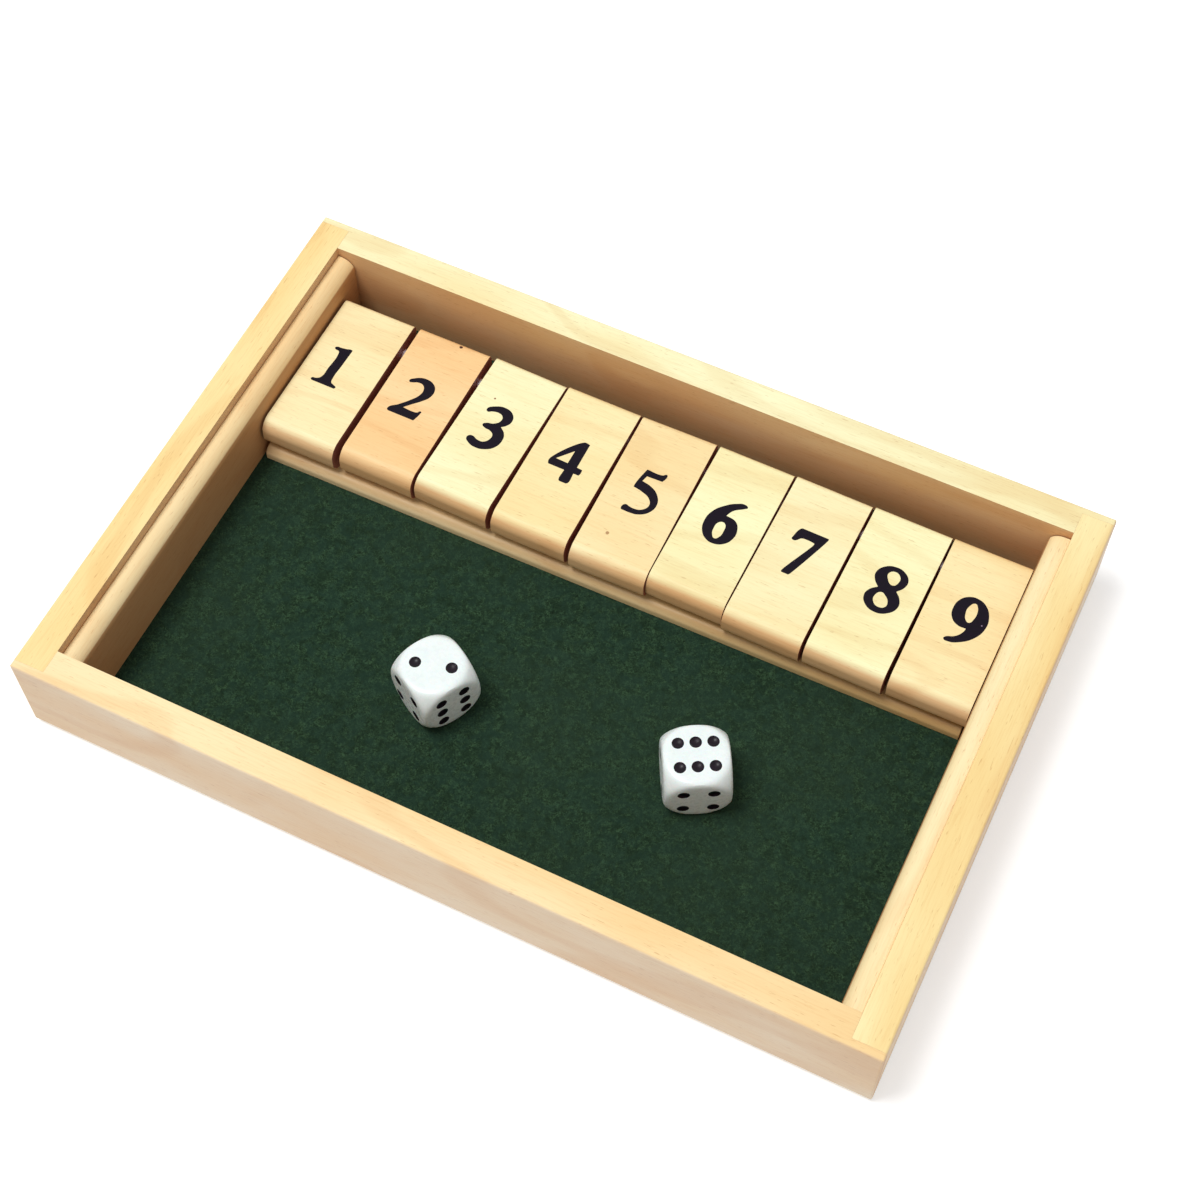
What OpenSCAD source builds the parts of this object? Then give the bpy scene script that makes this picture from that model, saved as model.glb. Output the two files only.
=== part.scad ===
// Shut the box game: a shallow wooden case with a felt tray, nine numbered
// flap tiles on one steel rod, and two dice. Millimetres, +Z up.
// The origin is on the surface that the case stands on, under its middle.
// +X runs to the high-numbered tiles, and -Y is the side the players sit at.

/* [Case] */
// Thickness of the four boards of the case
board_t = 8.1; // [6.5:0.1:12]
// Thickness of the outer lap that covers each side board's end
lap_t = 2; // [1:0.1:4]
// Radius along the bottom outer edges of the case
foot_r = 2.6; // [0.5:0.1:3.2]
// Radius along the other outer edges of the case
edge_r = 0.8; // [0.2:0.1:1.5]
// Height left free above the tiles
headroom = 9.7; // [7:0.1:14]
// Depth of the open tray, from the front board to the tile rest
tray_d = 79.7; // [60:0.1:110]

/* [Base] */
// Thickness of the base panel
base_t = 4; // [2.5:0.1:6]
// Width of the rebate in each board that the base panel sits in
base_seat = 3.6; // [2:0.1:4.2]
// Side clearance of the base panel in its rebate
base_fit = 0.1; // [0.05:0.05:0.3]
// Thickness of the felt
felt_t = 0.8; // [0.4:0.1:1.5]

/* [Rails] */
// Thickness of the right rail
rail_t = 5.2; // [5:0.1:8]
// How much thinner the left rail is
left_rail_less = 0.4; // [0:0.1:0.6]
// How far the rails lie below the top of the case
rail_drop = 2.7; // [1:0.1:4]
// Radius of the inner top edge of a rail
rail_inner_r = 3.7; // [1:0.1:3.9]
// Radius of the outer top edge of a rail, beside the board
rail_outer_r = 0.4; // [0.3:0.1:1]
// Gap between each end of a rail and the front or back board
rail_end_gap = 0.25; // [0.1:0.05:0.5]

/* [Tile rest] */
// Height of the strip that the tiles lie on
rest_h = 3.7; // [3.2:0.1:6]
// Depth of the strip from front to back
rest_d = 24; // [14:0.5:28]
// Radius of its front top edge
rest_r = 2.2; // [0.3:0.1:3]
// Gap between each end of the strip and the rail
rest_end_gap = 1; // [0.2:0.1:2]
// How far the right end of the strip lies behind its left end
rest_skew = 1; // [0:0.1:2]

/* [Tiles] */
// Width of one tile
tile_w = 20.1; // [16:0.1:26]
// Even length of a tile from nose to tail
tile_l = 44; // [40:0.1:60]
// Thickness of a tile
tile_t = 9.4; // [8:0.1:10.4]
// Even gap beside each tile
tile_gap = 0.85; // [0.75:0.05:1.5]
// How far the tile noses lie behind the front of the tile rest
tile_setback = 0.9; // [0:0.1:3]
// Clear space between the tile tails and the back board
tail_space = 6.8; // [5:0.1:12]
// Radius of the top edge of a tile's nose
nose_top_r = 3.6; // [1:0.1:4]
// Radius of the bottom edge of a tile's nose
nose_bottom_r = 4; // [1:0.1:4]
// Radius of both edges of a tile's tail
tail_r = 1.6; // [1.2:0.1:3]

/* [Hinge rod] */
// Diameter of the steel rod
rod_d = 3.2; // [2:0.1:4]
// Distance from a tile's tail to the middle of the rod
rod_inset = 6.8; // [6:0.1:7.2]
// Radial clearance of the rod in the tiles
rod_play = 0.08; // [0.03:0.01:0.1]
// Radial clearance of the rod in the rails
rod_seat = 0.03; // [0.02:0.01:0.05]
// Space between each end of the rod and the side board
rod_end_gap = 0.3; // [0.1:0.1:1]

/* [Dice] */
// Edge length of a die
die_size = 16; // [12:0.5:18]
// Radius of the sphere that rounds a die's corners
die_round_r = 11; // [10.9:0.1:12]
// Diameter of a pip
pip_d = 2.9; // [2:0.1:3.4]
// Depth of a pip
pip_depth = 0.5; // [0.2:0.1:0.8]
// Distance of the pips from a face's middle lines
pip_step = 3.1; // [2.5:0.1:3.5]
// Distance of the end pips from the middle on the face with six
six_step = 4.1; // [3.6:0.1:4.3]
// Left die: middle, right of the middle of the tray
left_die_x = -22.4; // [-60:0.1:-15]
// Left die: middle, behind the front board
left_die_y = 37.3; // [15:0.1:45]
// Left die: turn, seen from above
left_die_turn = -29.7; // [-90:0.1:90]
// Right die: middle, right of the middle of the tray
right_die_x = 42.4; // [15:0.1:60]
// Right die: middle, behind the front board
right_die_y = 42.8; // [15:0.1:45]
// Right die: turn, seen from above
right_die_turn = 29.3; // [-90:0.1:90]

/* [Hidden] */
$fn = 96;
// Overrun of a cut past the face that it opens
over = 0.5;

// The tiles are cut and drilled by hand. From left to right, as shares of the even gap:
// how far each tile has slid along the rod from its even place, how far its nose leans
// to the right, and how far its nose reaches in front of the even line
tile_slides = [-0.54, 0.54, 1.46, 1.27, 1.18, 1.2, 0.89, 0.78, 0.53];
tile_leans = [-0.17, -0.21, -1.27, -0.35, 0.37, -0.45, -0.75, -0.58, -0.08];
tile_reaches = [0.35, -0.27, -0.56, 0.01, 0.46, -0.54, 0.79, 0.72, -0.02];
tile_count = len(tile_slides);
tile_pitch = tile_w + tile_gap;

// Widths
rails_inner_w = tile_count * tile_pitch + tile_gap;
boards_inner_w = rails_inner_w + 2 * rail_t;
case_w = boards_inner_w + 2 * board_t;

// Depths
boards_inner_d = tray_d + tile_setback + tile_l + tail_space;
case_d = boards_inner_d + 2 * board_t;
front_y = -boards_inner_d / 2;
back_y = boards_inner_d / 2;
rest_y = front_y + tray_d;
nose_y = rest_y + tile_setback;
hole_to_nose = tile_l - rod_inset;
rod_y = nose_y + hole_to_nose;

// Heights
felt_z = base_t;
tray_z = felt_z + felt_t;
tile_z = tray_z + rest_h;
case_h = tile_z + tile_t + headroom;
rail_z = case_h - rail_drop;
rod_z = tile_z + tile_t / 2;

rod_r = rod_d / 2;
rod_l = rails_inner_w + 2 * (rail_t - rod_end_gap);
// A sphere of this radius cuts a dimple of the pip's width and depth
pip_r = (pow(pip_d / 2, 2) + pow(pip_depth, 2)) / (2 * pip_depth);

light_wood = [0.93, 0.85, 0.63];
rail_wood = [0.93, 0.80, 0.60];
tile_wood = [0.96, 0.88, 0.66];
panel_wood = [0.80, 0.68, 0.48];
felt_green = [0.12, 0.24, 0.18];
steel_grey = [0.72, 0.72, 0.74];
die_white = [0.94, 0.95, 0.95];

// ---- Shared shapes ----

// What a radius takes off a corner at the origin whose material lies at +X +Y
module corner_waste(r) {
    difference() {
        translate([-over, -over]) square(r + over);
        translate([r, r]) circle(r);
    }
}

// Rectangle with its own radius at each corner: low left, low right, top right, top left
module rounded_rect(w, h, radii) {
    difference() {
        square([w, h]);
        if (radii[0] > 0) corner_waste(radii[0]);
        if (radii[1] > 0) translate([w, 0]) mirror([1, 0]) corner_waste(radii[1]);
        if (radii[2] > 0) translate([w, h]) rotate(180) corner_waste(radii[2]);
        if (radii[3] > 0) translate([0, h]) mirror([0, 1]) corner_waste(radii[3]);
    }
}

// Extrusion along X, centred, of an outline drawn with Y across and Z up
module along_x(length) {
    rotate([90, 0, 90]) linear_extrude(length, center = true) children();
}

// Extrusion along Y, centred, of an outline drawn with X across and Z up
module along_y(length) {
    rotate([90, 0, 0]) linear_extrude(length, center = true) children();
}

// Cylinder along X, centred on the rod's axis
module on_rod_axis(length, r) {
    translate([0, rod_y, rod_z]) rotate([0, 90, 0]) cylinder(h = length, r = r, center = true);
}

// ---- Case ----

// Outer form of the case: well rounded at the foot, and eased along its other edges
module case_form() {
    side_radii = [foot_r, foot_r, edge_r, edge_r];
    intersection() {
        along_x(case_w) translate([-case_d / 2, 0]) rounded_rect(case_d, case_h, side_radii);
        along_y(case_d) translate([-case_w / 2, 0]) rounded_rect(case_w, case_h, side_radii);
        translate([-case_w / 2, -case_d / 2]) linear_extrude(case_h)
            rounded_rect(case_w, case_d, [edge_r, edge_r, edge_r, edge_r]);
    }
}

// Space that the base panel takes in the bottom inner edges of the boards
module base_rebate() {
    translate([-boards_inner_w / 2 - base_seat, front_y - base_seat, -over])
        cube([boards_inner_w + 2 * base_seat, boards_inner_d + 2 * base_seat, base_t + over]);
}

// Rabbet in one end of the front board, which a side board's end fills
module corner_rabbet() {
    translate([boards_inner_w / 2, lap_t - case_d / 2, -over])
        cube([board_t + over, board_t - lap_t + over, case_h + 2 * over]);
}

// The front board runs the full width, and laps over the side boards' ends
module lapped_board() {
    difference() {
        intersection() {
            case_form();
            translate([-case_w / 2, -case_d / 2, 0]) cube([case_w, board_t, case_h]);
        }
        corner_rabbet();
        mirror([1, 0, 0]) corner_rabbet();
        base_rebate();
    }
}

module side_board() {
    difference() {
        intersection() {
            case_form();
            translate([boards_inner_w / 2, lap_t - case_d / 2, 0])
                cube([board_t, case_d - 2 * lap_t, case_h]);
        }
        base_rebate();
    }
}

module front_board() {
    color(light_wood) lapped_board();
}

module back_board() {
    color(light_wood) mirror([0, 1, 0]) lapped_board();
}

module left_board() {
    color(light_wood) mirror([1, 0, 0]) side_board();
}

module right_board() {
    color(light_wood) side_board();
}

module base_panel() {
    w = boards_inner_w + 2 * (base_seat - base_fit);
    d = boards_inner_d + 2 * (base_seat - base_fit);
    color(panel_wood) translate([-w / 2, -d / 2, 0]) cube([w, d, base_t]);
}

module felt_mat() {
    color(felt_green) translate([-boards_inner_w / 2, front_y, felt_z])
        cube([boards_inner_w, boards_inner_d, felt_t]);
}

// ---- Rails, tile rest and rod ----

// Rail against the right-hand board, with the hole that holds the rod
module rail(thickness) {
    difference() {
        translate([boards_inner_w / 2 - thickness, 0, tray_z])
            along_y(boards_inner_d - 2 * rail_end_gap)
                rounded_rect(thickness, rail_z - tray_z, [0, 0, rail_outer_r, rail_inner_r]);
        on_rod_axis(boards_inner_w + 2 * over, rod_r + rod_seat);
    }
}

module left_rail() {
    color(rail_wood) mirror([1, 0, 0]) rail(rail_t - left_rail_less);
}

module right_rail() {
    color(rail_wood) rail(rail_t);
}

// The strip lies a little skew, and its ends stay clear of the rails all the same
module tile_rest() {
    skew = atan(rest_skew / rails_inner_w);
    length = rails_inner_w + left_rail_less - 2 * (rest_end_gap + rest_d * sin(skew));
    color(rail_wood) translate([-left_rail_less / 2, rest_y, tray_z]) rotate(skew)
        along_x(length) rounded_rect(rest_d, rest_h, [0, 0, 0, rest_r]);
}

module hinge_rod() {
    color(steel_grey) on_rod_axis(rod_l, rod_r);
}

// ---- Tiles ----

// A slice of moulding: a round nose in front, and a tail that turns on the rod
module tile(number) {
    even_x = (number - (tile_count + 1) / 2) * tile_pitch;
    hole_x = even_x + tile_slides[number - 1] * tile_gap;
    lean = atan(tile_leans[number - 1] * tile_gap / hole_to_nose);
    reach = tile_reaches[number - 1] * tile_gap;
    color(tile_wood) difference() {
        translate([hole_x, rod_y, tile_z]) rotate(lean) translate([0, -hole_to_nose - reach])
            along_x(tile_w)
                rounded_rect(tile_l + reach, tile_t, [nose_bottom_r, tail_r, tail_r, nose_top_r]);
        on_rod_axis(rails_inner_w, rod_r + rod_play);
    }
}

// ---- Dice ----

// Pip places on a face, as steps from its middle
function pip_places(value) =
    let (a = pip_step, b = six_step)
    value == 6 ? [for (row = [-1, 1], column = [-1 : 1]) [column * b, row * a]]
    : concat(
        value % 2 == 1 ? [[0, 0]] : [],
        value > 1 ? [[a, a], [-a, -a]] : [],
        value > 3 ? [[-a, a], [a, -a]] : []);

// The pips of one face, cut into the top of the die
module pips(value) {
    for (place = pip_places(value))
        translate([place[0], place[1], die_size / 2 - pip_depth + pip_r]) sphere(pip_r);
}

// Die about its middle: one to the right, two to the back, three on top
module die() {
    difference() {
        intersection() {
            cube(die_size, center = true);
            sphere(die_round_r);
        }
        rotate([0, 90, 0]) pips(1);
        rotate([-90, 0, 0]) pips(2);
        pips(3);
        rotate([180, 0, 0]) pips(4);
        rotate([90, 0, 0]) pips(5);
        rotate([0, -90, 0]) rotate(90) pips(6);
    }
}

module left_die() {
    color(die_white) translate([left_die_x, front_y + left_die_y, tray_z + die_size / 2])
        rotate(left_die_turn) rotate([90, 0, 180]) die();
}

module right_die() {
    color(die_white) translate([right_die_x, front_y + right_die_y, tray_z + die_size / 2])
        rotate(right_die_turn) rotate([-90, 90, 0]) die();
}

front_board();
back_board();
left_board();
right_board();
base_panel();
felt_mat();
left_rail();
right_rail();
tile_rest();
hinge_rod();
left_die();
right_die();
for (i = [1 : tile_count]) tile(i);
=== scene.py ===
"""Shut the box game: the finish of every piece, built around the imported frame.

Metres, +Z up, in the frame of the CAD: the case stands on the origin's plane,
+X runs to tile 9 and -Y is the side the players sit at.
"""
import math

import bmesh
import bpy
from mathutils import Euler, Matrix, Vector, noise


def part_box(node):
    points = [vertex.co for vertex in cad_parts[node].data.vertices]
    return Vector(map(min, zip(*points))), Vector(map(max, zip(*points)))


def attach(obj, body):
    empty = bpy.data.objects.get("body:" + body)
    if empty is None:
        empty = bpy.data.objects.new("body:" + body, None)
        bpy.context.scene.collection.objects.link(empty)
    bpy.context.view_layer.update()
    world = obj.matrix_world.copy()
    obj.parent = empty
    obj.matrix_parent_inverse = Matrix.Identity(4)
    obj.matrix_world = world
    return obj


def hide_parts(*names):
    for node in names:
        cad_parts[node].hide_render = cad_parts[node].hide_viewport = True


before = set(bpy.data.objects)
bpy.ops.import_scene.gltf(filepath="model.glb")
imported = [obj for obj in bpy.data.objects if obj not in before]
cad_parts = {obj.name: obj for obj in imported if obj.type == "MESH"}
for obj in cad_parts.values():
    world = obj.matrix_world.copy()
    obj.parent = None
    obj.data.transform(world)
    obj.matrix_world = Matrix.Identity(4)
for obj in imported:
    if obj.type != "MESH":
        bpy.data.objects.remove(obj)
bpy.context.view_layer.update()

MM = 0.001
TILE_COUNT = 9


# ---- Small helpers ----

def new_object(name, mesh):
    obj = bpy.data.objects.new(name, mesh)
    bpy.context.scene.collection.objects.link(obj)
    return obj


def mesh_object(name, bm):
    mesh = bpy.data.meshes.new(name)
    bm.to_mesh(mesh)
    bm.free()
    return new_object(name, mesh)


def set_material(obj, *materials):
    obj.data.materials.clear()
    for material in materials:
        obj.data.materials.append(material)


def shade_smooth(obj):
    obj.data.polygons.foreach_set("use_smooth", [True] * len(obj.data.polygons))


# Corners closer than this are one, and facets that differ by less than FLAT_ANGLE are one face
WELD_REACH = 0.001 * MM
FLAT_ANGLE = math.radians(0.5)
# Edges sharper than this are eased, with this many facets
EASE_ANGLE = math.radians(40)
EASE_SEGMENTS = 3


def ease_edges(obj, width):
    """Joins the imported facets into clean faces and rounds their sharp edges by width."""
    shade_smooth(obj)
    weld = obj.modifiers.new("Weld", "WELD")
    weld.merge_threshold = WELD_REACH
    flat = obj.modifiers.new("Flat faces", "DECIMATE")
    flat.decimate_type = "DISSOLVE"
    flat.angle_limit = FLAT_ANGLE
    ease = obj.modifiers.new("Eased edges", "BEVEL")
    ease.width = width
    ease.segments = EASE_SEGMENTS
    ease.limit_method = "ANGLE"
    ease.angle_limit = EASE_ANGLE
    ease.use_clamp_overlap = False
    normals = obj.modifiers.new("Flat shading of flats", "WEIGHTED_NORMAL")
    normals.weight = 100


# ---- Node helpers ----

class Nodes:
    """A material's node tree, with one method per kind of step."""

    def __init__(self, name):
        self.material = bpy.data.materials.new(name)
        self.material.use_nodes = True
        self.tree = self.material.node_tree
        self.shader = self.tree.nodes["Principled BSDF"]
        self.place = self.add("ShaderNodeTexCoord")

    def add(self, kind, **settings):
        node = self.tree.nodes.new(kind)
        for key, value in settings.items():
            setattr(node, key, value)
        return node

    def link(self, value, socket):
        if isinstance(value, bpy.types.NodeSocket):
            self.tree.links.new(value, socket)
        else:
            socket.default_value = value

    def point(self, scale=(1, 1, 1), turn=(0, 0, 0), shift=(0, 0, 0)):
        """Object coordinates, turned and shifted, then scaled."""
        turned = self.add("ShaderNodeMapping", vector_type="POINT")
        self.link(self.place.outputs["Object"], turned.inputs["Vector"])
        turned.inputs["Rotation"].default_value = turn
        turned.inputs["Location"].default_value = shift
        scaled = self.add("ShaderNodeVectorMath", operation="MULTIPLY")
        self.link(turned.outputs["Vector"], scaled.inputs[0])
        scaled.inputs[1].default_value = scale
        return scaled.outputs["Vector"]

    def noise(self, vector, detail=2.0, roughness=0.5, distortion=0.0):
        """Noise about 0.5 at a scale of one per unit of vector."""
        node = self.add("ShaderNodeTexNoise")
        self.link(vector, node.inputs["Vector"])
        node.inputs["Scale"].default_value = 1
        node.inputs["Detail"].default_value = detail
        node.inputs["Roughness"].default_value = roughness
        node.inputs["Distortion"].default_value = distortion
        return node.outputs["Fac"]

    def math(self, operation, a, b=0.0):
        node = self.add("ShaderNodeMath", operation=operation)
        self.link(a, node.inputs[0])
        self.link(b, node.inputs[1])
        return node.outputs[0]

    def span(self, value, low, high, to_low=0.0, to_high=1.0):
        """Maps low..high to to_low..to_high, smoothly and clamped."""
        node = self.add("ShaderNodeMapRange", interpolation_type="SMOOTHSTEP")
        self.link(value, node.inputs["Value"])
        node.inputs["From Min"].default_value = low
        node.inputs["From Max"].default_value = high
        node.inputs["To Min"].default_value = to_low
        node.inputs["To Max"].default_value = to_high
        return node.outputs["Result"]

    def mix(self, share, a, b, blend="MIX"):
        """Mixes colours a and b; share is a number or a socket."""
        node = self.add("ShaderNodeMix", data_type="RGBA", blend_type=blend)
        self.link(share, node.inputs[0])
        self.link(a, node.inputs[6])
        self.link(b, node.inputs[7])
        return node.outputs[2]

    def spot(self, centre, radius, edge):
        """1 within radius of a point of the object, 0 past radius + edge."""
        far = self.add("ShaderNodeVectorMath", operation="DISTANCE")
        self.link(self.place.outputs["Object"], far.inputs[0])
        far.inputs[1].default_value = centre
        return self.span(far.outputs["Value"], radius, radius + edge, 1.0, 0.0)

    def outwardness(self):
        """Above 0 on a surface that looks away from the middle of the case, below 0 inside."""
        level = self.add("ShaderNodeVectorMath", operation="MULTIPLY")
        self.link(self.place.outputs["Normal"], level.inputs[0])
        level.inputs[1].default_value = (1, 1, 0)
        side = self.add("ShaderNodeVectorMath", operation="DOT_PRODUCT")
        self.link(level.outputs["Vector"], side.inputs[0])
        self.link(self.place.outputs["Object"], side.inputs[1])
        return side.outputs["Value"]

    def bump(self, height, distance, strength=1.0):
        node = self.add("ShaderNodeBump")
        node.inputs["Strength"].default_value = strength
        node.inputs["Distance"].default_value = distance
        self.link(height, node.inputs["Height"])
        self.link(node.outputs["Normal"], self.shader.inputs["Normal"])

    def finish(self, **values):
        for name, value in values.items():
            self.link(value, self.shader.inputs[name.replace("_", " ")])
        return self.material


def rgb(red, green, blue):
    """A colour written as it shows on screen, 0 to 255, as the shaders want it."""
    def linear(value):
        share = value / 255
        return share / 12.92 if share <= 0.04045 else ((share + 0.055) / 1.055) ** 2.4
    return (linear(red), linear(green), linear(blue), 1)


# ---- Materials ----

# How far from the middle of the case the darkening towards the right-hand end starts and ends
RIGHTWARD_TONE_REACH = 100 * MM
# Turns that lay a wood's grain along an axis
ALONG_X = (0, 0, 0)
ALONG_Y = (0, 0, math.radians(-90))
# How squarely a surface must face the grain's direction to show end grain
END_TURN = (0.8, 0.97)
# How wide the change from the outer tone to the painted inner shade is
INNER_SOFTNESS = 0.01
# Growth lines: radians per metre across the grain, how far noise bends them, their depth of tone
RING_RATE = 260
RING_BEND = 34
RING_DEPTH = 0.14
# A speck fades out over this share of its radius
SPECK_FADE = 0.6


def wood(
    name, face, side, end, grain=ALONG_X, seed=0.0, figure=1.0,
    marks=(), inner_shade=None, turn=(0.55, 0.95), rightward_tone=None,
):
    """Pale close-grained wood under matt lacquer.

    face is the colour of the surfaces that point up or down and side that of the others, a lit
    and a shaded copy of one wood: painted light for a warm lamp on top and cooler light on the
    sides. end is the colour of the end grain. Sides that look towards the middle of the case take
    inner_shade, painted shade for the light they miss there. figure sets how strong the growth
    lines are, and turn how upright a normal is where side changes to face. marks are (centre,
    radius, colour) of specks. rightward_tone is the tone that darkens the wood towards its
    right-hand end.
    """
    n = Nodes(name)
    shift = (seed * 0.37, seed * 0.23, seed * 0.11)
    facing = n.add("ShaderNodeSeparateXYZ")
    n.link(n.place.outputs["Normal"], facing.inputs[0])
    # Painted light: surfaces that point up or down take the lit face colour, the others the shaded side
    # colour
    lit_top_share = n.span(n.math("ABSOLUTE", facing.outputs["Z"]), *turn)
    endward = n.span(n.math("ABSOLUTE", facing.outputs["X" if grain == ALONG_X else "Y"]), *END_TURN)
    # Painted shade: sides that look towards the middle of the case take a darker colour, for the light they
    # miss inside the case
    if inner_shade:
        side = n.mix(n.span(n.outwardness(), -INNER_SOFTNESS, INNER_SOFTNESS), inner_shade, side)
    colour = n.mix(endward, n.mix(lit_top_share, side, face), end)

    # Slow drift of tone along the board
    drift = n.noise(n.point((14, 45, 45), grain, shift), 2, 0.5)
    drifted = n.span(drift, 0.3, 0.7, 0.0, 0.5 * figure)
    colour = n.mix(drifted, colour, rgb(246, 222, 190), "MULTIPLY")

    # Darker towards the right-hand end
    if rightward_tone:
        along = n.add("ShaderNodeSeparateXYZ")
        n.link(n.place.outputs["Object"], along.inputs[0])
        rightward = n.span(along.outputs["X"], -RIGHTWARD_TONE_REACH, RIGHTWARD_TONE_REACH)
        colour = n.mix(rightward, colour, rightward_tone, "MULTIPLY")

    # Growth lines: layers across the grain, bent by slow noise
    bend = n.noise(n.point((9, 28, 28), grain, shift), 2, 0.45, 0.4)
    across = n.add("ShaderNodeSeparateXYZ")
    n.link(n.point((1, 1, 1), grain, shift), across.inputs[0])
    layer = n.math("ADD", across.outputs["Y"], n.math("MULTIPLY", across.outputs["Z"], 0.35))
    phase = n.math("ADD", n.math("MULTIPLY", layer, RING_RATE), n.math("MULTIPLY", bend, RING_BEND))
    ring = n.span(n.math("SINE", phase), 0.35, 1.0)
    ringed = n.math("MULTIPLY", ring, RING_DEPTH * figure)
    colour = n.mix(ringed, colour, rgb(224, 178, 124), "MULTIPLY")

    # Fibres and short pores
    fibre = n.noise(n.point((130, 2600, 2600), grain, shift), 3, 0.65)
    colour = n.mix(n.span(fibre, 0.42, 0.78, 0.0, 0.22), colour, rgb(226, 184, 136), "MULTIPLY")
    pore = n.noise(n.point((420, 3600, 3600), grain, shift), 1, 0.5)
    colour = n.mix(n.span(pore, 0.66, 0.78, 0.0, 0.35), colour, rgb(190, 140, 92), "MULTIPLY")

    for centre, radius, tone in marks:
        colour = n.mix(n.spot(centre, radius, radius * SPECK_FADE), colour, tone)

    n.bump(n.math("ADD", fibre, n.math("MULTIPLY", pore, -0.6)), 0.02 * MM, 0.5)
    rough = n.span(fibre, 0.2, 0.8, 0.40, 0.52)
    return n.finish(Base_Color=colour, Roughness=rough, Specular_IOR_Level=0.3)


def felt_cloth():
    """Dense dark green felt: matted fibres, a little lighter where they stand up."""
    n = Nodes("felt_cloth")
    mat = n.noise(n.point((1500, 1500, 1500)), 4, 0.7, 1.5)
    clump = n.noise(n.point((520, 520, 520)), 3, 0.65, 0.8)
    cast = n.noise(n.point((340, 340, 340), shift=(5, 5, 5)), 2, 0.6, 0.4)
    worn = n.noise(n.point((24, 24, 24)), 2, 0.5)
    colour = n.mix(n.span(mat, 0.36, 0.64), rgb(14, 29, 17), rgb(58, 85, 60))
    colour = n.mix(n.span(clump, 0.36, 0.64, 0.0, 0.75), colour, rgb(22, 40, 28))
    colour = n.mix(n.span(cast, 0.35, 0.65, 0.0, 0.5), colour, rgb(34, 58, 48))
    colour = n.mix(n.span(worn, 0.35, 0.7, 0.0, 0.25), colour, rgb(44, 60, 44))
    n.bump(n.math("ADD", mat, clump), 0.25 * MM, 0.8)
    return n.finish(
        Base_Color=colour, Roughness=0.95, Specular_IOR_Level=0.1,
        Sheen_Weight=0.08, Sheen_Roughness=0.5, Sheen_Tint=rgb(120, 160, 120),
    )


def bright_steel():
    """Drawn steel rod, with fine lines along its length."""
    n = Nodes("bright_steel")
    draw = n.noise(n.point((60, 6000, 6000)), 2, 0.5)
    colour = n.mix(n.span(draw, 0.3, 0.7), rgb(240, 234, 244), rgb(252, 246, 254))
    n.bump(draw, 0.01 * MM, 0.3)
    return n.finish(Base_Color=colour, Metallic=1.0, Roughness=n.span(draw, 0.3, 0.7, 0.58, 0.7))


def die_plastic():
    """Glossy white plastic of the dice, faintly cloudy, tinted faintly green as painted light reflected from
    the felt.
    """
    n = Nodes("die_plastic")
    cloud = n.noise(n.point((260, 260, 260)), 2, 0.5)
    # The green tint is painted reflection of the felt
    colour = n.mix(n.span(cloud, 0.3, 0.7), rgb(236, 246, 244), rgb(242, 250, 248))
    fine = n.noise(n.point((900, 900, 900)), 2, 0.5)
    n.bump(fine, 0.01 * MM, 0.2)
    return n.finish(
        Base_Color=colour, Roughness=n.span(fine, 0.3, 0.7, 0.24, 0.32),
        Subsurface_Weight=0.08, Subsurface_Scale=1.0 * MM,
    )


def pip_paint():
    """Black paint in the pips."""
    n = Nodes("pip_paint")
    cloud = n.noise(n.point((1200, 1200, 1200)), 2, 0.5)
    colour = n.mix(n.span(cloud, 0.3, 0.7), rgb(8, 2, 10), rgb(22, 8, 22))
    return n.finish(
        Base_Color=colour, Roughness=n.span(cloud, 0.3, 0.7, 0.3, 0.42), Specular_IOR_Level=0.2,
    )


def numeral_ink():
    """Dark printed ink, a touch uneven where the grain takes it up, with one tiny miss."""
    n = Nodes("numeral_ink")
    soak = n.noise(n.point((500, 1500, 1500)), 3, 0.6)
    colour = n.mix(n.span(soak, 0.35, 0.8), rgb(12, 6, 18), rgb(24, 14, 30))
    tile, right, front, radius, tone = INK_MISS
    missed = tile_corner(tile) @ Vector((right * MM, -front * MM, 0))
    colour = n.mix(n.spot(missed, radius * MM, radius * MM), colour, tone)
    n.bump(soak, 0.01 * MM, 0.4)
    return n.finish(
        Base_Color=colour, Roughness=n.span(soak, 0.3, 0.7, 0.55, 0.7), Specular_IOR_Level=0.12,
    )


# ---- Case ----

EDGE_EASE = 0.06 * MM
RAIL_EASE = 0.2 * MM
# How strong the growth lines are
BOARD_FIGURE = 1.3
RAIL_FIGURE = 0.9
PANEL_FIGURE = 1.4
# Seeds that give each piece its own figure
BOARD_SEED = 1
REST_SEED = 5
PANEL_SEED = 7
RAIL_SEED = 11

# Top of each board and rail: its own tone, as no two pieces of wood are alike, and painted light, paler and
# yellower than the sides as if lit by a warm lamp from above
BOARD_FACE_TONE_AND_LIGHT = {
    "front_board": rgb(255, 233, 183),
    "back_board": rgb(255, 253, 208),
    "left_board": rgb(255, 234, 172),
    "right_board": rgb(255, 238, 179),
}
RAIL_FACE_TONE_AND_LIGHT = {"left_rail": rgb(255, 234, 185), "right_rail": rgb(255, 240, 193)}
# The tile rest's top is painted darker, as shade under the tiles' noses, and the rest darkens towards its
# right-hand end
REST_SHADED_FACE = rgb(212, 182, 136)
REST_SIDE = rgb(255, 230, 182)
REST_RIGHTWARD_TONE = rgb(220, 214, 196)
# The sides of boards and rails: a cooler, pinker copy of the tops' colour, painted as the light on the shaded
# sides
CASE_SIDE = rgb(243, 224, 197)
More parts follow.
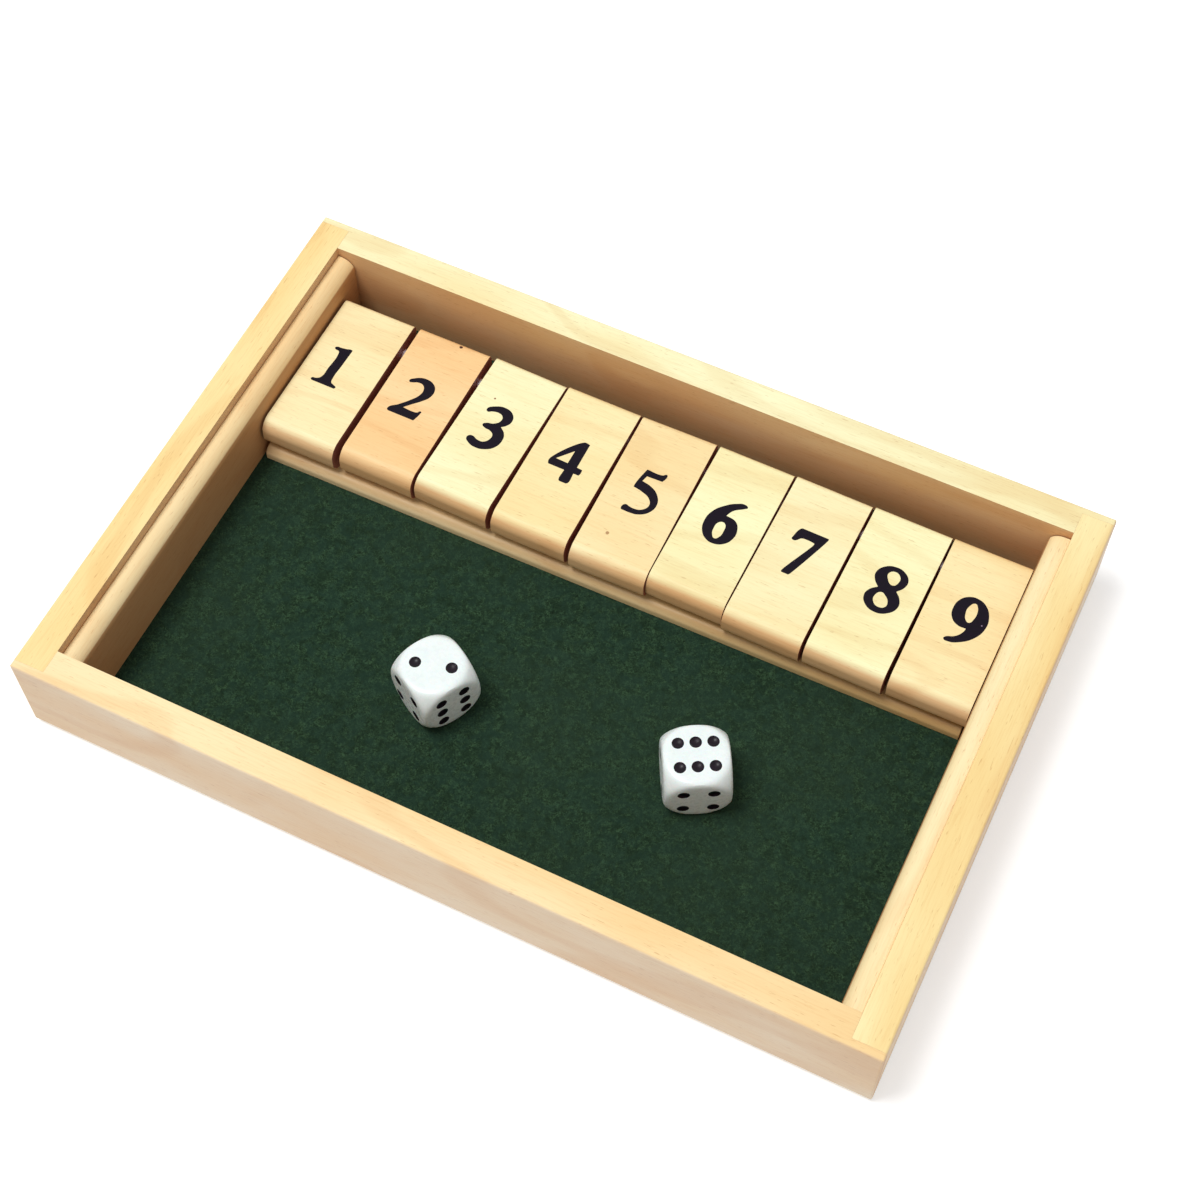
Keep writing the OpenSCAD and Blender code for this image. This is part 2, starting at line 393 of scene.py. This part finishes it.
# Painted shade on the sides of boards and rails that face the tray
BOARD_INNER_SHADE = rgb(230, 195, 152)
RAIL_INNER_SHADE = rgb(200, 155, 108)
CASE_END = rgb(226, 190, 150)
PANEL_FACE = rgb(214, 180, 132)
PANEL_SIDE = rgb(196, 158, 112)
PANEL_END = rgb(180, 138, 96)
# A rail's top keeps the pale face colour down to where its rounding steepens, then turns sharply to the side
# colour: painted light and shade for where the rounding turns away from the lamp
RAIL_TURN = (0.34, 0.46)
REST_TURN = (0.2, 0.85)


def dress_case():
    for seed, (board, face) in enumerate(BOARD_FACE_TONE_AND_LIGHT.items()):
        grain = ALONG_X if board in ("front_board", "back_board") else ALONG_Y
        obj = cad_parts[board]
        ease_edges(obj, EDGE_EASE)
        grained = wood(
            f"{board}_wood", face, CASE_SIDE, CASE_END, grain, BOARD_SEED + seed, BOARD_FIGURE,
            inner_shade=BOARD_INNER_SHADE,
        )
        set_material(obj, grained)
    for seed, (rail, face) in enumerate(RAIL_FACE_TONE_AND_LIGHT.items()):
        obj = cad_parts[rail]
        ease_edges(obj, RAIL_EASE)
        grained = wood(
            f"{rail}_wood", face, CASE_SIDE, CASE_END, ALONG_Y, RAIL_SEED + seed, RAIL_FIGURE,
            inner_shade=RAIL_INNER_SHADE, turn=RAIL_TURN,
        )
        set_material(obj, grained)
    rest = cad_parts["tile_rest"]
    ease_edges(rest, RAIL_EASE)
    grained = wood(
        "tile_rest_wood", REST_SHADED_FACE, REST_SIDE, CASE_END, ALONG_X, REST_SEED,
        turn=REST_TURN, rightward_tone=REST_RIGHTWARD_TONE,
    )
    set_material(rest, grained)
    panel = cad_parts["base_panel"]
    ease_edges(panel, EDGE_EASE)
    grained = wood(
        "panel_board", PANEL_FACE, PANEL_SIDE, PANEL_END, ALONG_X, PANEL_SEED, PANEL_FIGURE,
    )
    set_material(panel, grained)
    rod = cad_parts["hinge_rod"]
    ease_edges(rod, EDGE_EASE)
    set_material(rod, bright_steel())


# The felt's top: size of its cells, how uneven it is, and how many waves a metre holds
FELT_CELL = 1.2 * MM
FELT_RELIEF = 0.05 * MM
FELT_WAVES = 400


def make_felt():
    """The felt as one closed sheet with a slightly uneven top."""
    low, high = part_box("felt_mat")
    across = round((high.x - low.x) / FELT_CELL)
    along = round((high.y - low.y) / FELT_CELL)
    bm = bmesh.new()
    bmesh.ops.create_grid(bm, x_segments=across, y_segments=along, size=0.5)
    for v in bm.verts:
        v.co.x = low.x + (v.co.x + 0.5) * (high.x - low.x)
        v.co.y = low.y + (v.co.y + 0.5) * (high.y - low.y)
        v.co.z = high.z - FELT_RELIEF * (1 + noise.noise(v.co * FELT_WAVES)) / 2
    under = bmesh.ops.extrude_face_region(bm, geom=bm.faces[:])
    for v in under["geom"]:
        if isinstance(v, bmesh.types.BMVert):
            v.co.z = low.z
    bmesh.ops.recalc_face_normals(bm, faces=bm.faces[:])
    felt = mesh_object("felt_cloth", bm)
    shade_smooth(felt)
    set_material(felt, felt_cloth())
    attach(felt, "case")
    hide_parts("felt_mat")


# ---- Tiles ----

# Face colour of each tile: its own tone, as no two slices of wood are alike, and painted light, paler and
# yellower than the sides as if lit from above
TILE_FACE_TONE_AND_LIGHT = [
    rgb(255, 240, 188), rgb(255, 222, 168), rgb(255, 254, 207), rgb(255, 241, 186),
    rgb(255, 238, 186), rgb(255, 252, 201), rgb(255, 247, 198), rgb(255, 252, 201),
    rgb(255, 239, 185),
]
# The sides of the tiles: a cooler copy of the face colour, painted as the light on the shaded sides
TILE_SIDE = rgb(240, 200, 148)
# End grain of the tiles' sides, darkened further as painted shade for the narrow gaps between the tiles
TILE_END_GRAIN_AND_GAP_SHADE = rgb(160, 100, 84)
TILE_EASE = 0.08 * MM
TILE_FIGURE = 1.0
TILE_SEED = 20
# Specks in the wood: tile, millimetres from its left side and from its tail, radius, colour
TILE_SPECKS = [
    (2, 12.1, 1.3, 0.34, rgb(70, 36, 30)),
    (3, 5.7, 12.0, 0.20, rgb(150, 104, 70)),
    (5, 6.4, 35.5, 0.34, rgb(186, 146, 100)),
]


def tile_corner(number):
    """Matrix from the top of a tile's left tail corner, with the tile's own lean, to the frame."""
    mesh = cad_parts[f"tile_{number}"].data
    lefts = [face for face in mesh.polygons if face.normal.x < -0.9]
    facing = max(lefts, key=lambda face: face.area).normal
    lean = Matrix.Rotation(math.atan2(-facing.y, -facing.x), 4, "Z")
    places = [lean.inverted() @ v.co for v in mesh.vertices]
    left, tail = min(place.x for place in places), max(place.y for place in places)
    top = max(place.z for place in places)
    return lean @ Matrix.Translation((left, tail, top))


def dress_tiles():
    for number in range(1, TILE_COUNT + 1):
        corner = tile_corner(number)
        marks = [
            (corner @ Vector((right * MM, -front * MM, 0)), radius * MM, tone)
            for tile, right, front, radius, tone in TILE_SPECKS if tile == number
        ]
        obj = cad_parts[f"tile_{number}"]
        ease_edges(obj, TILE_EASE)
        face = TILE_FACE_TONE_AND_LIGHT[number - 1]
        grained = wood(
            f"tile_{number}_wood", face, TILE_SIDE, TILE_END_GRAIN_AND_GAP_SHADE, ALONG_X, TILE_SEED + number, TILE_FIGURE,
            marks,
        )
        set_material(obj, grained)


# ---- Numerals ----

# Outlines in millimetres from a tile's left side and the numerals' common base line.
# A third value, CORNER, marks a sharp point; the others are joined by smooth curves.
CORNER = 1
NUMERALS = {
    1: [[(5.1, 12.5), (6.8, 13), (8, 13.2), (9.1, 13.5), (9.5, 13.4, CORNER), (9.3, 8), (9.15, 4),
         (9.5, 2.4), (10.4, 1.95), (11.2, 1.5), (11, 1.1, CORNER), (4.6, 1.1, CORNER), (4.3, 1.5),
         (5.6, 2.05), (6.4, 2.8), (6.7, 6), (6.85, 11), (6.5, 11.9), (5.3, 12.2)]],
    2: [[(5.2, 11.6), (6.2, 12.7), (7.7, 13.5), (9.3, 13.7), (11.1, 13.2), (12.4, 11.7), (12.4, 9.3),
         (11.1, 7.3), (9.1, 5.2), (7.6, 3.55, CORNER), (10.7, 3.4), (11.8, 3.7), (12.2, 4.25),
         (12.6, 4.2, CORNER), (12.3, 2.5), (11.9, 1.15, CORNER), (4.7, 1.15, CORNER), (4.3, 1.6), (6.3, 3.9),
         (8.5, 6.5), (9.8, 8.7), (9.9, 10.5), (9, 11.8), (7.5, 11.95), (6.2, 11.4), (5.5, 11.25)]],
    3: [[(5.45, 12.15), (6.95, 13.65), (9.75, 14.4), (12.05, 13.45), (12.85, 11.55), (12.25, 9.85),
         (11.15, 8.8, CORNER), (12.75, 7.45), (13.4, 5.55), (12.75, 2.85), (10.95, 1.25), (8.45, 0.6),
         (6.15, 1.15), (5.05, 2.25), (5.35, 3.05), (6.15, 3.3), (7.85, 2.75), (9.45, 2.95), (10.55, 4.55),
         (10.45, 5.85), (9.25, 6.7), (7.65, 6.9), (6.75, 7.55), (7.45, 8.3), (9.05, 8.85), (10.35, 10.35),
         (10.05, 11.85), (8.65, 12.4), (6.95, 12.05), (5.85, 11.55)]],
    4: [[(10.95, 13.6), (11.8, 13.7), (12.6, 13.5, CORNER), (12.65, 6.1, CORNER), (14.15, 6, CORNER),
         (14.25, 5), (14.05, 4.15, CORNER), (12.65, 4.15, CORNER), (12.6, 1), (12.2, 0.7, CORNER),
         (10.4, 0.7, CORNER), (10.1, 1), (10.1, 4.15, CORNER), (5.65, 4.15, CORNER), (5.3, 5), (5.55, 6.3)],
        [(10.05, 10.3, CORNER), (10, 6.3, CORNER), (6.7, 6.4, CORNER)]],
    5: [[(7.6, 13.05, CORNER), (11.7, 13.05), (12.6, 13.6), (12.8, 12.9), (12.3, 11.45, CORNER),
         (8.2, 11.35, CORNER), (7.7, 9.5, CORNER), (10.5, 8.8), (12.6, 7.4), (13.85, 4.8), (13.1, 2),
         (10.9, 0.3), (8.8, -0.05), (6.5, 0, CORNER), (6.3, 0.5), (6.9, 1.6), (7.9, 1.4), (9.4, 1.25),
         (11.2, 1.8), (12.35, 3.7), (11.4, 5.6), (9.1, 6.7), (6.6, 7.25, CORNER), (6.6, 8.1), (7.4, 12.3)]],
    6: [[(13.55, 13.5), (12.65, 14.05), (10.65, 13.4), (8.35, 11.7), (6.25, 9), (5.55, 5.9), (6.35, 2.7),
         (8.15, 1), (9.95, 0.6), (12.45, 1.5), (13.95, 3.9), (13.85, 6.7), (12.55, 8.6), (9.75, 9.2, CORNER),
         (10.65, 11.1), (13.05, 13)],
        [(9.85, 7.2), (8.75, 6.5), (8.45, 4.7), (8.85, 2.9), (9.85, 2), (10.85, 3), (11.1, 5), (10.75, 6.7)]],
    7: [[(7.35, 13.85, CORNER), (14.25, 13.85, CORNER), (14.3, 13.45), (9.75, 0.75), (9.45, 0.35, CORNER),
         (7.65, 0.35, CORNER), (7.5, 0.75), (11.65, 10.75), (11.55, 11.15, CORNER), (9.95, 11.3),
         (8.15, 11.05), (7.45, 10.25), (6.85, 9.85), (6.1, 10.05), (6.15, 10.95), (6.95, 13.55)]],
    8: [[(11.25, 13.45), (8.55, 12.45), (7.2, 10.05), (7.75, 8.15), (9.2, 6.55, CORNER), (7.55, 4.95),
         (7.05, 3.05), (8.25, 0.85), (10.85, -0.2), (13.75, 0.65), (15.55, 3.25), (14.95, 5.65),
         (13.55, 7.15, CORNER), (14.95, 9.15), (15.05, 11.15), (13.45, 12.95)],
        [(11.15, 12.2), (9.95, 11.15), (10.25, 9.75), (12.15, 8.3), (13.25, 9.85), (12.85, 11.55)],
        [(10.45, 5.6), (9.25, 3.95), (9.65, 2.25), (11.15, 1.35), (12.85, 2.05), (12.85, 3.75),
         (11.75, 5.05)]],
    9: [[(11, 13.7), (13.3, 12.8), (15.2, 9.9), (15.4, 6.4), (13.9, 3.1), (11.3, 0.8), (8.8, -0.2),
         (7.4, 0.1), (7.6, 0.7), (9.6, 1.8), (11, 3.6), (11.3, 4.8, CORNER), (9.2, 4.85), (7.2, 6.3),
         (6.5, 9.1), (7.3, 11.9), (9.1, 13.4)],
        [(11, 12.2), (9.8, 10.7), (9.7, 8.8), (10.5, 6.9), (11.3, 6.6), (12.1, 8.1), (12.2, 10.1),
         (11.7, 11.6)]],
}
# The base line's distance in front of a tile's tail, and how far the ink stands proud
BASE_LINE = 27.8 * MM
INK_HEIGHT = 0.03 * MM
# Steps of a numeral's curve from one point of its outline to the next
CURVE_STEPS = 8
# The speck that the ink missed: tile, millimetres from its left side and from its tail, radius, colour
INK_MISS = (9, 14.4, 20.65, 0.12, rgb(150, 130, 150))
# How far the ink has spread past each outline, in millimetres
INK_SPREAD = {1: 0.085, 2: 0.05, 3: 0.05, 4: 0.0, 5: 0.085, 6: 0.04, 7: 0.0, 8: 0.06, 9: 0.0}


def numeral_curve(number):
    curve = bpy.data.curves.new(f"numeral_{number}", "CURVE")
    curve.dimensions = "2D"
    curve.fill_mode = "BOTH"
    curve.resolution_u = CURVE_STEPS
    curve.extrude = INK_HEIGHT
    curve.offset = INK_SPREAD[number] * MM
    for outline in NUMERALS[number]:
        spline = curve.splines.new("BEZIER")
        spline.bezier_points.add(len(outline) - 1)
        spline.use_cyclic_u = True
        for knot, place in zip(spline.bezier_points, outline):
            knot.co = (place[0] * MM, place[1] * MM, 0)
            kind = "VECTOR" if len(place) > 2 else "AUTO"
            knot.handle_left_type = kind
            knot.handle_right_type = kind
    return curve


def make_numerals():
    ink = numeral_ink()
    for number in range(1, TILE_COUNT + 1):
        drawn = new_object(f"curve_{number}", numeral_curve(number))
        bpy.context.view_layer.update()
        shape = drawn.evaluated_get(bpy.context.evaluated_depsgraph_get())
        mesh = bpy.data.meshes.new_from_object(shape)
        bpy.data.objects.remove(drawn)
        mesh.transform(tile_corner(number) @ Matrix.Translation((0, -BASE_LINE, 0)))
        numeral = new_object(f"numeral_{number}", mesh)
        set_material(numeral, ink)
        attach(numeral, f"tile_{number}")


# ---- Dice ----

DIE_CELLS = 36
# A die's flats are blended over DIE_BLEND into a ball of DIE_ROUND_R round its middle
DIE_ROUND_R = 11 * MM
DIE_BLEND = 0.35 * MM
# A direction that leans less than this towards a face never reaches it
LEAST_LEAN = 0.05
PIP_D = 2.9 * MM
PIP_DEPTH = 0.5 * MM
PIP_R = ((PIP_D / 2) ** 2 + PIP_DEPTH ** 2) / (2 * PIP_DEPTH)
BALL_SEGMENTS = 48
BALL_RINGS = 32
# From a face's middle to its pips; the 4 stands wider, and a row of the 6 has its own step
PIP_STEP = 3.1 * MM
FOUR_STEP = 3.5 * MM
SIX_STEP = 4.1 * MM
# Edges of a die sharper than this stay crisp
PIP_EDGE_ANGLE = math.radians(30)
# Turns about X, Y and Z that bring each die's top face up, and then its heading
DIE_TURNS = {
    "left_die": ((90, 0, 180), -29.7),
    "right_die": ((-90, 90, 0), 29.3),
}


def pip_places(value):
    """Steps of a face's pips from its middle."""
    if value == 6:
        return [(column * SIX_STEP, row * PIP_STEP) for row in (-1, 1) for column in (-1, 0, 1)]
    step = FOUR_STEP if value == 4 else PIP_STEP
    places = [(0, 0)] if value % 2 else []
    if value > 1:
        places += [(step, step), (-step, -step)]
    if value > 3:
        places += [(-step, step), (step, -step)]
    return places


# How each face lies on the die, as turns of the top about X, Y and Z
FACE_TURNS = {1: (0, 90, 0), 2: (-90, 0, 0), 3: (0, 0, 0), 4: (180, 0, 0), 5: (90, 0, 0), 6: (0, -90, 0)}


def turned(degrees):
    return Euler([math.radians(a) for a in degrees], "XYZ").to_matrix()


def blended_reach(direction, half):
    """Distance from the die's middle to its skin: flat faces blended into a ball."""
    reaches = [half / abs(part) for part in direction if abs(part) > LEAST_LEAN]
    reaches.append(DIE_ROUND_R)
    nearest = min(reaches)
    total = sum(math.exp((nearest - reach) / DIE_BLEND) for reach in reaches)
    return nearest - DIE_BLEND * math.log(total)


def die_body(half):
    """Cube of DIE_CELLS cells a side, pushed out to the blended skin."""
    bm = bmesh.new()
    for value in FACE_TURNS:
        face = bmesh.ops.create_grid(bm, x_segments=DIE_CELLS, y_segments=DIE_CELLS, size=1)
        turn = turned(FACE_TURNS[value])
        for v in face["verts"]:
            slant = Vector((math.tan(v.co.x * math.pi / 4), math.tan(v.co.y * math.pi / 4), 1))
            direction = (turn @ slant).normalized()
            v.co = direction * blended_reach(direction, half)
    bmesh.ops.remove_doubles(bm, verts=bm.verts[:], dist=WELD_REACH)
    bmesh.ops.recalc_face_normals(bm, faces=bm.faces[:])
    return bm


def pip_cutter(half):
    """The balls that cut all 21 pips."""
    bm = bmesh.new()
    for value, turns in FACE_TURNS.items():
        turn = turned(turns)
        spin = Matrix.Rotation(math.radians(90), 3, "Z") if value == 6 else Matrix.Identity(3)
        for x, y in pip_places(value):
            centre = turn @ (spin @ Vector((x, y, 0)) + Vector((0, 0, half - PIP_DEPTH + PIP_R)))
            ball = bmesh.ops.create_uvsphere(
                bm, u_segments=BALL_SEGMENTS, v_segments=BALL_RINGS, radius=PIP_R,
            )
            for v in ball["verts"]:
                v.co = turn @ v.co + centre
    return bm


def make_die(name, white, black):
    low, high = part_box(name)
    half = (high.z - low.z) / 2
    turns, heading = DIE_TURNS[name]
    stand = (
        Matrix.Translation((low + high) / 2)
        @ Matrix.Rotation(math.radians(heading), 4, "Z")
        @ turned(turns).to_4x4()
    )
    body = mesh_object(f"{name}_body", die_body(half))
    set_material(body, white, black)
    balls = mesh_object(f"{name}_balls", pip_cutter(half))
    set_material(balls, white, black)
    balls.data.polygons.foreach_set("material_index", [1] * len(balls.data.polygons))
    cut = body.modifiers.new("Pips", "BOOLEAN")
    cut.operation = "DIFFERENCE"
    cut.solver = "EXACT"
    cut.object = balls
    bpy.context.view_layer.update()
    shape = body.evaluated_get(bpy.context.evaluated_depsgraph_get())
    mesh = bpy.data.meshes.new_from_object(shape)
    bpy.data.objects.remove(body)
    bpy.data.objects.remove(balls)
    mesh.transform(stand)
    die = new_object(f"{name}_cube", mesh)
    shade_smooth(die)
    mesh.set_sharp_from_angle(angle=PIP_EDGE_ANGLE)
    normals = die.modifiers.new("Flat shading of flats", "WEIGHTED_NORMAL")
    normals.keep_sharp = True
    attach(die, name)
    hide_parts(name)


# ---- Stage, lights and camera ----

WHITE = (1, 1, 1, 1)
FLOOR_GREY = (0.8, 0.8, 0.8, 1)
FLOOR_HALF = 4
# Light that the floor adds where the camera or a glossy surface sees it, so that it looks white
FLOOR_GLOW = 0.45


def make_floor():
    bm = bmesh.new()
    bmesh.ops.create_grid(bm, x_segments=1, y_segments=1, size=FLOOR_HALF)
    floor = mesh_object("floor", bm)
    n = Nodes("floor_white")
    n.shader.inputs["Base Color"].default_value = FLOOR_GREY
    n.shader.inputs["Roughness"].default_value = 0.9
    rays = n.add("ShaderNodeLightPath")
    seen = n.math("MAXIMUM", rays.outputs["Is Camera Ray"], rays.outputs["Is Glossy Ray"])
    seen = n.math("MAXIMUM", seen, rays.outputs["Is Transmission Ray"])
    n.shader.inputs["Emission Color"].default_value = WHITE
    n.link(n.math("MULTIPLY", seen, FLOOR_GLOW), n.shader.inputs["Emission Strength"])
    set_material(floor, n.material)


ROOM_LIGHT = 0.45


def make_world():
    """Even light of ROOM_LIGHT on the object, and white behind it and in its gloss."""
    world = bpy.data.worlds.new("studio")
    world.use_nodes = True
    bpy.context.scene.world = world
    tree = world.node_tree
    room = tree.nodes["Background"]
    room.inputs["Color"].default_value = WHITE
    rays = tree.nodes.new("ShaderNodeLightPath")
    seen = rays.outputs["Is Camera Ray"]
    for kind in ("Is Glossy Ray", "Is Transmission Ray"):
        either = tree.nodes.new("ShaderNodeMath")
        either.operation = "MAXIMUM"
        tree.links.new(seen, either.inputs[0])
        tree.links.new(rays.outputs[kind], either.inputs[1])
        seen = either.outputs[0]
    strength = tree.nodes.new("ShaderNodeMapRange")
    strength.inputs["To Min"].default_value = ROOM_LIGHT
    strength.inputs["To Max"].default_value = 1
    tree.links.new(seen, strength.inputs["Value"])
    tree.links.new(strength.outputs["Result"], room.inputs["Strength"])


KEY_PLACE = (-0.70, -0.36, 2.47)
KEY_SIZE = 0.9
KEY_WATTS = 42.5


def make_softbox(name, place, size, watts):
    """Square lamp that points at the origin."""
    light = bpy.data.lights.new(name, "AREA")
    light.shape = "SQUARE"
    light.size = size
    light.energy = watts
    lamp = new_object(name, light)
    lamp.location = place
    lamp.rotation_euler = (-Vector(place)).to_track_quat("-Z", "Y").to_euler()


# Camera: its place, its heading round +Z, its angle below the horizon and its roll in degrees,
# and its lens and sensor in millimetres
CAMERA_PLACE = (0.1191, -0.2275, 0.4641)
CAMERA_HEADING = 26.24
CAMERA_DOWN = 59.78
CAMERA_ROLL = -0.52
CAMERA_LENS = 65.07
CAMERA_SENSOR = 36
CAMERA_NEAR = 0.01


def make_camera():
    camera = new_object("camera", bpy.data.cameras.new("camera"))
    camera.data.lens = CAMERA_LENS
    camera.data.sensor_width = CAMERA_SENSOR
    camera.data.clip_start = CAMERA_NEAR
    camera.matrix_world = (
        Matrix.Translation(CAMERA_PLACE)
        @ Matrix.Rotation(math.radians(CAMERA_HEADING), 4, "Z")
        @ Matrix.Rotation(math.radians(90 - CAMERA_DOWN), 4, "X")
        @ Matrix.Rotation(math.radians(CAMERA_ROLL), 4, "Z")
    )
    bpy.context.scene.camera = camera


dress_case()
make_felt()
dress_tiles()
make_numerals()
white = die_plastic()
black = pip_paint()
for die_name in DIE_TURNS:
    make_die(die_name, white, black)
make_floor()
make_world()
make_softbox("key_softbox", KEY_PLACE, KEY_SIZE, KEY_WATTS)
make_camera()
bpy.context.scene.view_settings.view_transform = "Standard"
